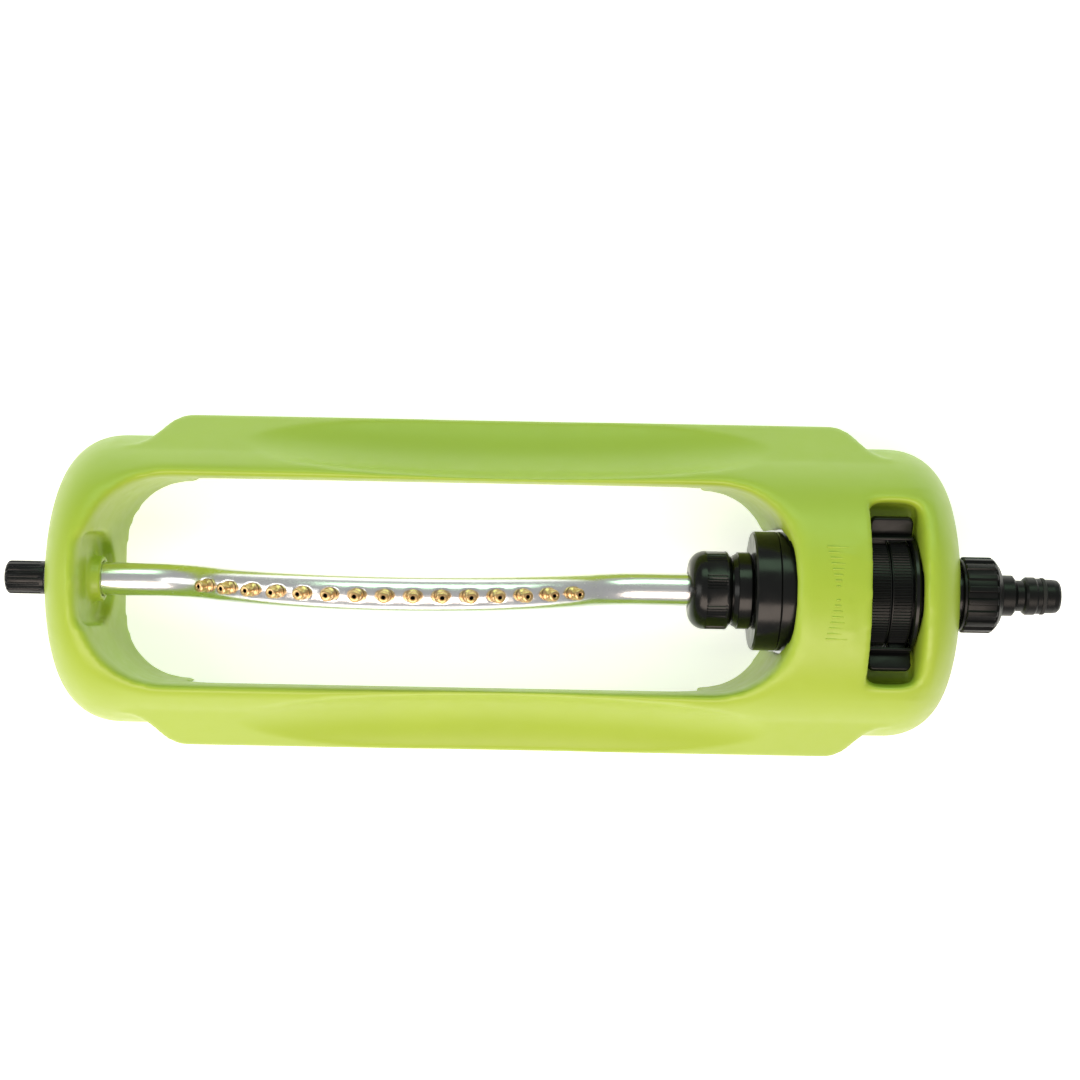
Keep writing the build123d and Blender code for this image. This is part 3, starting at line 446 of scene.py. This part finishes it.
class SPRINKLER_OT_tube(bpy.types.Operator):
    """Bend the spray tube and press its jet seats"""
    bl_idname = "sprinkler.tube"
    bl_label = "Spray tube"
    round_steps = 72
    straight_steps = (18, 14)  # plug end, inlet end
    bend_steps = 20
    bow_steps = 300

    def execute(self, context):
        tube = context.scene.sprinkler_tube
        left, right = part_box("spray_tube")[0].x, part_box("spray_tube")[1].x
        turn, bow = bow_shape(tube)
        bm = bmesh.new()
        bmesh.ops.create_circle(
            bm, segments=self.round_steps, radius=tube.radius,
            matrix=Matrix.Translation((left, 0, 0)) @ Matrix.Rotation(pi / 2, 4, "Y"),
        )
        front = list(bm.edges)

        def run(station, steps):
            nonlocal front
            here = sum(v.co.x for e in front for v in e.verts) / (2 * len(front))
            for _ in range(steps):
                new = bmesh.ops.extrude_edge_only(bm, edges=front)["geom"]
                front = [g for g in new if isinstance(g, bmesh.types.BMEdge)]
                verts = list({v for e in front for v in e.verts})
                bmesh.ops.translate(bm, verts=verts, vec=((station - here) / steps, 0, 0))

        def bend(centre, angle, steps):
            nonlocal front
            made = bmesh.ops.spin(
                bm, geom=front, cent=centre, axis=(0, 1, 0), dvec=(0, 0, 0), angle=angle, steps=steps,
                use_merge=False, use_duplicate=False,
            )
            front = [g for g in made["geom_last"] if isinstance(g, bmesh.types.BMEdge)]

        start, end = tube.bow_centre - tube.bow_half, tube.bow_centre + tube.bow_half
        run(start, self.straight_steps[0])
        bend((start, 0, tube.end_bend), -turn, self.bend_steps)
        bend((tube.bow_centre, 0, tube.bow_rise - bow), 2 * turn, self.bow_steps)
        bend((end, 0, tube.end_bend), -turn, self.bend_steps)
        run(right, self.straight_steps[1])
        self.press_seats(bm, tube, bow)
        bmesh.ops.recalc_face_normals(bm, faces=bm.faces)
        bmesh.ops.transform(bm, matrix=bow_frame(tube), verts=bm.verts)
        piece = new_piece("polished_tube", bm, "spray_arm", ["aluminium"], ["spray_tube"],
                          sharp=radians(60))
        wall = piece.modifiers.new("Wall", "SOLIDIFY")
        wall.thickness = tube.wall
        wall.offset = -1
        return {"FINISHED"}

    def press_seats(self, bm, tube, bow):
        """Flatten a round seat under each jet, with a soft rim round it."""
        centre = Vector((tube.bow_centre, 0, tube.bow_rise - bow))
        for vert in bm.verts:
            arm = vert.co - centre
            along = atan2(arm.x, arm.z)
            index = round((along * bow - tube.jet_shift) / tube.jet_pitch + (tube.jets - 1) / 2)
            if not 0 <= index < tube.jets or arm.z < 0:
                continue
            middle = jet_angle(tube, index)
            up = Vector((sin(middle), 0, cos(middle)))
            height = arm.dot(up) - bow
            if height < 0:
                continue
            reach = (arm - up * arm.dot(up)).length / tube.dimple
            if reach < 1:
                floor = tube.seat - tube.dimple_sink
                slope = max(0, reach - tube.dimple_flat) / (1 - tube.dimple_flat)
                if height > floor:
                    vert.co -= up * (height - floor) * (0.5 + 0.5 * cos(pi * slope))


class SPRINKLER_OT_jets(bpy.types.Operator):
    """Turn the brass jets and stand them in their seats"""
    bl_idname = "sprinkler.jets"
    bl_label = "Brass jets"
    round_steps = 28
    # (radius, height) in millimetres, from the floor of the bore, over the lip and down the stem
    bore = ((0.0, 3.2), (0.8, 3.2), (0.8, 6.2))
    outline = ((0.95, 6.45), (1.15, 6.6), (1.75, 6.6), (2.15, 6.45), (2.45, 6.1), (2.65, 5.6), (2.65, 3.3),
               (2.25, 2.7), (2.2, 2.1), (2.45, 1.75), (2.95, 1.5), (3.1, 1.3), (3.1, 0.0), (1.9, -0.2),
               (1.9, -1.2), (0.0, -1.2))

    def execute(self, context):
        tube = context.scene.sprinkler_tube
        bow = bow_shape(tube)[1]
        bm = bmesh.new()
        for index in range(tube.jets):
            place = bow_frame(tube) @ Matrix.Translation((tube.bow_centre, 0, tube.bow_rise - bow)) @ \
                Matrix.Rotation(jet_angle(tube, index), 4, "Y") @ Matrix.Translation((0, 0, bow + tube.seat))
            chain = [bm.verts.new((r * MM, 0, h * MM)) for r, h in (*self.bore, *self.outline)]
            edges = [bm.edges.new(pair) for pair in zip(chain, chain[1:])]
            bmesh.ops.spin(bm, geom=chain + edges, cent=(0, 0, 0), axis=(0, 0, 1), dvec=(0, 0, 0),
                           angle=2 * pi, steps=self.round_steps, use_merge=True, use_duplicate=False)
            new_verts = [v for v in bm.verts if not v.tag]
            # paint the inside of the bore with near-black painted shade
            self.paint_bore_shade(bm, new_verts)
            bmesh.ops.transform(bm, matrix=place, verts=new_verts)
            for vert in new_verts:
                vert.tag = True
        bmesh.ops.remove_doubles(bm, verts=bm.verts, dist=1e-7)
        bmesh.ops.dissolve_degenerate(bm, dist=1e-7, edges=bm.edges)
        bmesh.ops.recalc_face_normals(bm, faces=bm.faces)
        new_piece("brass_jets", bm, "spray_arm", ["brass", "bore"], ["spray_nozzles"])
        return {"FINISHED"}

    def paint_bore_shade(self, bm, verts):
        """Put the faces inside the bore in the second material slot, a near-black painted shade over the
        brass where the bore lies in shadow.
        """
        radius, lip = ((size + 0.01) * MM for size in self.bore[-1])
        inner = {v for v in verts if hypot(v.co.x, v.co.y) < radius and 0 < v.co.z < lip}
        for face in bm.faces:
            if inner.issuperset(face.verts):
                face.material_index = 1


# ---------------------------------------------------------------- nut, hub and motor casing
class SPRINKLER_OT_gland_nut(bpy.types.Operator):
    """Turn the gland nut and cut its ribbed grip panels"""
    bl_idname = "sprinkler.gland_nut"
    bl_label = "Gland nut"
    panels = 8                 # each is smooth over one half and ribbed over the other
    ribs = 5                   # in each panel
    panel_depth = 0.35 * MM    # how far the smooth half is hollowed
    rib_depth = 0.45 * MM
    nose_radius = 7.5 * MM     # of the rounded end towards the tube
    thread = 13.6 * MM         # bore over the spigot of the hub

    def execute(self, context):
        tube = context.scene.sprinkler_tube
        left, right, radius = station_box("tube_nut")
        bore = tube.radius + 0.4 * MM
        land = left + 2.4 * MM
        round_over = self.nose_radius
        nose = [
            (left + round_over * (1 - cos(radians(a))), radius - round_over * (1 - sin(radians(a))))
            for a in range(8, 90, 9)
        ]
        outline = [
            (land, bore), (left + 0.5 * MM, bore), (left, bore + 0.6 * MM), *nose,
            (left + 7.6 * MM, radius), (left + 8.2 * MM, radius), (right - 3.0 * MM, radius),
            (right - 2.4 * MM, radius), (right - 1.9 * MM, radius - 0.1 * MM),
            (right - 0.2 * MM, radius - 2.2 * MM), (right, radius - 2.6 * MM), (right, self.thread),
            (land, self.thread),
        ]
        bm = turned(outline, self.panels * 40)

        def grip(angle):
            cell = angle / (2 * pi) * self.panels % 1
            flat = self.panel_depth * (0.5 + 0.5 * cos(2 * pi * (cell - 0.25)))
            ribbed = cell > 0.5 and (cell - 0.5) * 2 * self.ribs % 1 < 0.5
            return -flat - (self.rib_depth if ribbed else 0)

        push_radially(bm, left + 8.0 * MM, right - 2.9 * MM, radius - 0.1 * MM, grip)
        new_piece("gland_nut", bm, "spray_arm", ["gloss_black"], ["tube_nut"])
        return {"FINISHED"}


def cad_finish(material, *nodes):
    """Give CAD nodes that stay as they are a finish."""
    for node in nodes:
        slots = frame["nodes"][node].data.materials
        if not slots:
            slots.append(MATERIALS[material])
        for index in range(len(slots)):
            slots[index] = MATERIALS[material]


class SPRINKLER_OT_casing(bpy.types.Operator):
    """Finish the hub, the motor casing and the pieces inside it"""
    bl_idname = "sprinkler.casing"
    bl_label = "Hub and motor casing"

    def execute(self, context):
        cad_finish("gloss_black", "output_hub", "motor_front", "motor_housing", "rear_cap")
        cad_finish("satin_black", "bottom_cover", "hose_nipple")
        cad_finish("rubber", "motor_seal", "hub_seal", "gland_seal", "inlet_washer", "nipple_oring",
                   "plug_oring")
        cad_finish("natural", "tube_bush", "jet_plate", "gear_plate", "inlet_filter", "jet_selector",
                   "turbine", "gear_1", "gear_2", "gear_3", "ring_gear", "thrust_washer")
        cad_finish("steel", "arbor", "lay_shaft", "cover_screws", "cleaning_needle")
        return {"FINISHED"}


# ---------------------------------------------------------------- range rings
class SPRINKLER_OT_range_rings(bpy.types.Operator):
    """Turn the two ribbed range rings, each with its thumb paddle"""
    bl_idname = "sprinkler.range_rings"
    bl_label = "Range rings"
    ribs = 104
    rib_depth = 0.55 * MM
    bore = 23.15 * MM          # over the seat on the motor housing
    rim = 0.45 * MM
    paddle_angle = radians(68)
    paddle_root = 27.7 * MM
    paddle_tip = 37.0 * MM
    paddle_half = 1.7 * MM     # half the thickness of a paddle
    paddle_corner = 2.6 * MM
    foot_reach = 5.4 * MM      # of the paddle's foot, towards the crown
    paddle_span = (150.4 * MM, 169.6 * MM)
    rings = (
        # node, direction that the paddle leans in, first station, last station, radius
        ("range_ring_front", 1, 149.6 * MM, 158.7 * MM, 25.0 * MM),
        ("range_ring_rear", -1, 158.95 * MM, 168.05 * MM, 25.0 * MM),
    )

    def execute(self, context):
        for node, side, start, end, radius in self.rings:
            outline = [
                (start, self.bore), (start, radius - self.rim), (start + self.rim * 0.4, radius - 0.12 * MM),
                (start + 0.6 * MM, radius), (start + 0.8 * MM, radius), (end - 0.9 * MM, radius),
                (end - 0.7 * MM, radius), (end - self.rim * 0.4, radius - 0.12 * MM),
                (end, radius - self.rim), (end, self.bore),
            ]
            bm = turned(outline, self.ribs * 4)
            push_radially(
                bm, start + 0.7 * MM, end - 0.8 * MM, radius - 0.05 * MM,
                lambda angle: -self.rib_depth if angle / (2 * pi) * self.ribs % 1 < 0.5 else 0,
            )
            self.paddle(bm, side, start, end)
            new_piece(node + "_ribbed", bm, node, ["satin_black"], [node], sharp=radians(35))
        return {"FINISHED"}

    def paddle(self, bm, side, start, end):
        """A thumb paddle with round corners, on a stepped foot that stands on its own ring."""
        turn = Matrix.Translation(AXIS) @ Matrix.Rotation(-side * self.paddle_angle, 4, "X")
        low, high = self.paddle_span
        root, tip, half = self.paddle_root, self.paddle_tip, self.paddle_half
        rounded_box(bm, (low, -half, root), (high, half, tip), 0.9 * MM, turn, corner=self.paddle_corner)
        near, far = sorted((side * (half + 0.7 * MM), -side * self.foot_reach))
        rounded_box(bm, (low + 0.2 * MM, near, root), (high - 0.2 * MM, far, root + 1.5 * MM), 0.4 * MM, turn)
        rounded_box(bm, (start + 0.8 * MM, -half - 1.2 * MM, 24.0 * MM),
                    (end - 0.8 * MM, half + 1.2 * MM, root + 0.7 * MM), 0.5 * MM, turn)


# ---------------------------------------------------------------- inlet and end plug
class SPRINKLER_OT_swivel_nut(bpy.types.Operator):
    """Turn the swivel nut and raise its broad grip ribs"""
    bl_idname = "sprinkler.swivel_nut"
    bl_label = "Swivel nut"
    ribs = 18
    rib_height = 1.0 * MM
    bore = 13.3 * MM           # over the threaded stub
    throat = 9.5 * MM          # round the stem of the nipple

    def execute(self, context):
        left, right, radius = station_box("swivel_nut")
        grip = (left + 1.4 * MM, left + 14.8 * MM)
        base = radius - self.rib_height
        seat = right - 3.6 * MM
        outline = [
            (left, self.bore), (left, base - 0.5 * MM), (left + 0.15 * MM, base - 0.15 * MM),
            (left + 0.5 * MM, base),
            (grip[0] - 0.3 * MM, base), (grip[0], radius - 0.4 * MM), (grip[0] + 0.3 * MM, radius - 0.1 * MM),
            (grip[0] + 0.7 * MM, radius), (grip[1] - 0.7 * MM, radius),
            (grip[1] - 0.3 * MM, radius - 0.1 * MM), (grip[1], radius - 0.4 * MM),
            (grip[1] + 0.3 * MM, base), (grip[1] + 0.8 * MM, base - 0.15 * MM),
            (grip[1] + 1.8 * MM, base - 1.3 * MM), (grip[1] + 2.2 * MM, base - 2.2 * MM),
            (right - 1.0 * MM, base - 2.6 * MM), (right - 0.6 * MM, base - 3.4 * MM),
            (right - 0.2 * MM, base - 4.7 * MM), (right, base - 5.0 * MM), (right, self.throat),
            (seat, self.throat), (seat, self.bore),
        ]
        bm = turned(outline, self.ribs * 24)

        def groove(angle):
            cell = angle / (2 * pi) * self.ribs % 1
            flank = min(1, max(0, (abs(cell - 0.5) - 0.22) / 0.08))
            return -self.rib_height * (1 - flank)

        push_radially(bm, grip[0] - 0.1 * MM, grip[1] + 0.1 * MM, base + 0.1 * MM, groove)
        new_piece("ribbed_swivel_nut", bm, "swivel_nut", ["satin_black"], ["swivel_nut"])
        return {"FINISHED"}


class SPRINKLER_OT_end_plug(bpy.types.Operator):
    """Turn the end plug and cut its fine flutes"""
    bl_idname = "sprinkler.end_plug"
    bl_label = "End plug"
    flutes = 16
    flute_depth = 0.45 * MM
    collar = 2.0 * MM          # plain collar between the flutes and the tube
    shank_radius = 6.4 * MM

    def execute(self, context):
        tube = context.scene.sprinkler_tube
        tip, shank_end, radius = station_box("end_plug")
        head_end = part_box("spray_tube")[0].x - 0.2 * MM
        outline = [
            (tip, 0), (tip, radius - 2.2 * MM), (tip + 0.15 * MM, radius - 1.7 * MM),
            (tip + 0.6 * MM, radius - 0.7 * MM),
            (tip + 1.3 * MM, radius - 0.15 * MM), (tip + 2.0 * MM, radius),
            (head_end - self.collar - 0.4 * MM, radius), (head_end - self.collar, radius),
            (head_end - 0.3 * MM, radius), (head_end, radius - 0.3 * MM), (head_end, self.shank_radius),
            (shank_end - 0.6 * MM, self.shank_radius), (shank_end, self.shank_radius - 0.6 * MM),
            (shank_end, 0),
        ]
        bm = turned(outline, self.flutes * 16)
        push_radially(
            bm, tip + 0.5 * MM, head_end - self.collar - 0.2 * MM, tube.radius - 1.2 * MM,
            lambda angle: -self.flute_depth * max(0, cos(angle * self.flutes)),
        )
        new_piece("fluted_end_plug", bm, "plug", ["gloss_black"], ["end_plug"])
        return {"FINISHED"}


# ---------------------------------------------------------------- stage
class SPRINKLER_OT_stage(bpy.types.Operator):
    """Lay the pale floor, hang the soft lights and set the camera straight above"""
    bl_idname = "sprinkler.stage"
    bl_label = "Stage"
    floor_half = 3.0           # metres from the middle of the floor to its edges
    floor_gap = 0.2 * MM       # below the object
    ambient = 0.38
    lamps = (
        # name, place, size, watts, tint
        ("key", (-0.10, -0.85, 1.05), (1.6, 0.8), 18.5, (1.0, 0.84, 0.72)),
        ("fill", (0.10, 1.00, 0.80), (1.4, 0.5), 6.0, (0.62, 1.0, 0.62)),
        ("end", (-1.00, 0.00, 0.80), (0.5, 0.8), 3.0, (1.0, 1.0, 0.95)),
    )
    lamps_aim = Vector((0, 0, 0.03))
    camera_place = (0.0032, 0.0090, 0.880)
    camera_turn = radians(1.09)
    camera_lens = 61.5
    camera_shift = 0.025

    def execute(self, context):
        scene = context.scene
        scene.view_settings.view_transform = "Standard"
        self.floor(scene)
        self.lights(scene)
        self.camera(scene)
        return {"FINISHED"}

    def floor(self, scene):
        bm = bmesh.new()
        bmesh.ops.create_grid(bm, x_segments=2, y_segments=2, size=self.floor_half,
                              matrix=Matrix.Translation((0, 0, cad_low.z - self.floor_gap)))
        mesh = bpy.data.meshes.new("floor")
        bm.to_mesh(mesh)
        bm.free()
        floor = bpy.data.objects.new("floor", mesh)
        scene.collection.objects.link(floor)
        material, _, shader = new_material("pale_floor")
        shader.inputs["Base Color"].default_value = (0.93, 0.93, 0.93, 1)
        shader.inputs["Roughness"].default_value = 0.9
        shader.inputs["Emission Color"].default_value = (1, 1, 1, 1)
        shader.inputs["Emission Strength"].default_value = 0.60
        shader.inputs["Specular IOR Level"].default_value = 0.1
        mesh.materials.append(material)

    def lights(self, scene):
        world = bpy.data.worlds.new("studio")
        scene.world = world
        world.use_nodes = True
        background = world.node_tree.nodes["Background"]
        background.inputs["Color"].default_value = (1, 1, 1, 1)
        background.inputs["Strength"].default_value = self.ambient
        for name, place, size, power, tint in self.lamps:
            lamp = bpy.data.lights.new(name, "AREA")
            lamp.shape = "RECTANGLE"
            lamp.size, lamp.size_y = size
            lamp.energy = power
            lamp.color = tint
            holder = bpy.data.objects.new(name, lamp)
            holder.location = place
            holder.rotation_euler = (self.lamps_aim - holder.location).to_track_quat("-Z", "Y").to_euler()
            scene.collection.objects.link(holder)

    def camera(self, scene):
        camera = bpy.data.cameras.new("camera")
        camera.lens = self.camera_lens
        camera.sensor_width = 36
        camera.shift_y = self.camera_shift
        camera.clip_end = 10
        holder = bpy.data.objects.new("camera", camera)
        holder.location = self.camera_place
        holder.rotation_euler = (0, 0, self.camera_turn)
        scene.collection.objects.link(holder)
        scene.camera = holder


STEPS = (
    SPRINKLER_OT_base, SPRINKLER_OT_ticks, SPRINKLER_OT_tube, SPRINKLER_OT_jets, SPRINKLER_OT_gland_nut,
    SPRINKLER_OT_casing, SPRINKLER_OT_range_rings, SPRINKLER_OT_swivel_nut, SPRINKLER_OT_end_plug,
    SPRINKLER_OT_stage,
)


class SPRINKLER_PT_panel(bpy.types.Panel):
    """The sprinkler's pieces, in the order that they are made"""
    bl_label = "Oscillating sprinkler"
    bl_idname = "SPRINKLER_PT_panel"
    bl_space_type = "VIEW_3D"
    bl_region_type = "UI"
    bl_category = "Sprinkler"

    def draw(self, context):
        for step in STEPS:
            self.layout.operator(step.bl_idname)


POINTERS = {
    "sprinkler_finishes": FinishSettings, "sprinkler_base": BaseSettings, "sprinkler_ticks": TickSettings,
    "sprinkler_tube": TubeSettings,
}


def register():
    for cls in (*SETTINGS, *STEPS, SPRINKLER_PT_panel):
        bpy.utils.register_class(cls)
    for name, settings in POINTERS.items():
        setattr(bpy.types.Scene, name, PointerProperty(type=settings))


def unregister():
    for name in POINTERS:
        delattr(bpy.types.Scene, name)
    for cls in reversed((*SETTINGS, *STEPS, SPRINKLER_PT_panel)):
        bpy.utils.unregister_class(cls)


def main():
    register()
    MATERIALS.update(make_materials())
    for step in STEPS:
        group, name = step.bl_idname.split(".")
        getattr(getattr(bpy.ops, group), name)()


if __name__ == "__main__":
    main()
